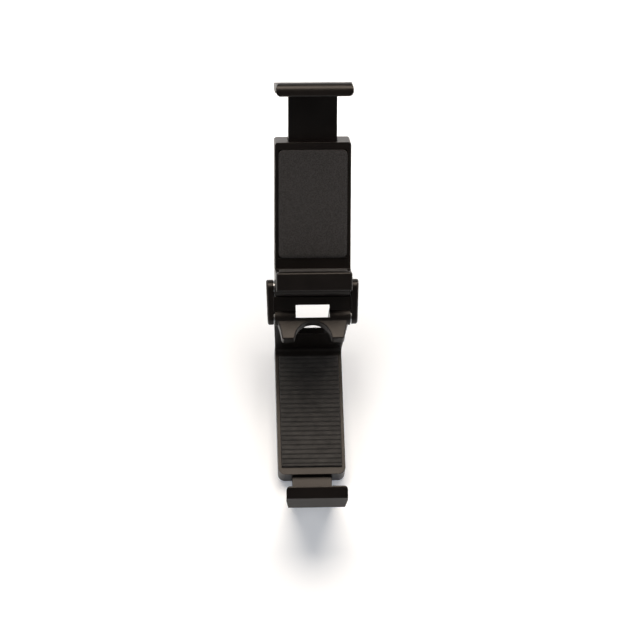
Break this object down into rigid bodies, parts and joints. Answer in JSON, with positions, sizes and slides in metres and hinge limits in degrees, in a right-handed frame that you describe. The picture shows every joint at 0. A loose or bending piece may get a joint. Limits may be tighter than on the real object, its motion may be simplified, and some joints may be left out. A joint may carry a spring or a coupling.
{
  "type": "controller phone clip",
  "caption": "Folding clip: a sprung hook bracket grips a gamepad, and a hinged arm carries a sprung two-jaw clamp for a phone.",
  "frame": {"origin": "on the face of the rear grip pad, straight under the middle of the round notch", "axes": "+X across the clip to the right, +Y from the hook towards the hinge, +Z out of the gripped face"},
  "size_m": [0.0378, 0.1574, 0.1215],
  "materials": {
    "black_plastic": "satin moulded",
    "grip_rubber": "matte",
    "foam_pad": "matte foam",
    "zinc_steel": "zinc plated",
    "spring_steel": "drawn wire"
  },
  "bodies": {
    "bracket": {"base_bracket": "black_plastic", "front_grip_pads": "grip_rubber", "rear_grip_pad": "grip_rubber", "spine_cover": "black_plastic", "spine_cover_screws": "zinc_steel", "lower_hinge_screws": "zinc_steel", "lower_hinge_nuts": "zinc_steel", "lower_hinge_washers": "zinc_steel", "hook_spring": "spring_steel"},
    "hook": {"lower_hook": "black_plastic", "lower_hook_pad": "grip_rubber"},
    "arm": {"hinge_arm": "black_plastic", "upper_hinge_post": "zinc_steel", "upper_hinge_screw": "zinc_steel", "upper_hinge_washers": "zinc_steel"},
    "clamp": {"clamp_housing": "black_plastic", "clamp_rear_cover": "black_plastic", "rear_cover_screws": "zinc_steel", "lower_jaw_pad": "grip_rubber", "back_pad": "foam_pad", "clamp_springs": "spring_steel"},
    "upper_jaw": {"upper_jaw": "black_plastic", "upper_jaw_pad": "grip_rubber"}
  },
  "joints": [
    {"name": "hook_slide", "type": "slide", "parent": "bracket", "child": "hook", "axis": [0, -1, 0], "range_m": [-0.005, 0.008], "stiffness_N_per_m": 400, "springref_m": -0.012, "deforming": ["hook_spring"]},
    {"name": "arm_fold", "type": "hinge", "parent": "bracket", "child": "arm", "pos_m": [0, 0.0105, 0.0395], "axis": [1, 0, 0], "range_deg": [-50, 55]},
    {"name": "clamp_tilt", "type": "hinge", "parent": "arm", "child": "clamp", "pos_m": [0, 0.02107, 0.0456], "axis": [1, 0, 0], "range_deg": [-60, 35]},
    {"name": "jaw_slide", "type": "slide", "parent": "clamp", "child": "upper_jaw", "axis": [0, 0.788, 0.6157], "range_m": [-0.02, 0.008], "stiffness_N_per_m": 250, "springref_m": -0.037, "deforming": ["clamp_springs"]}
  ]
}
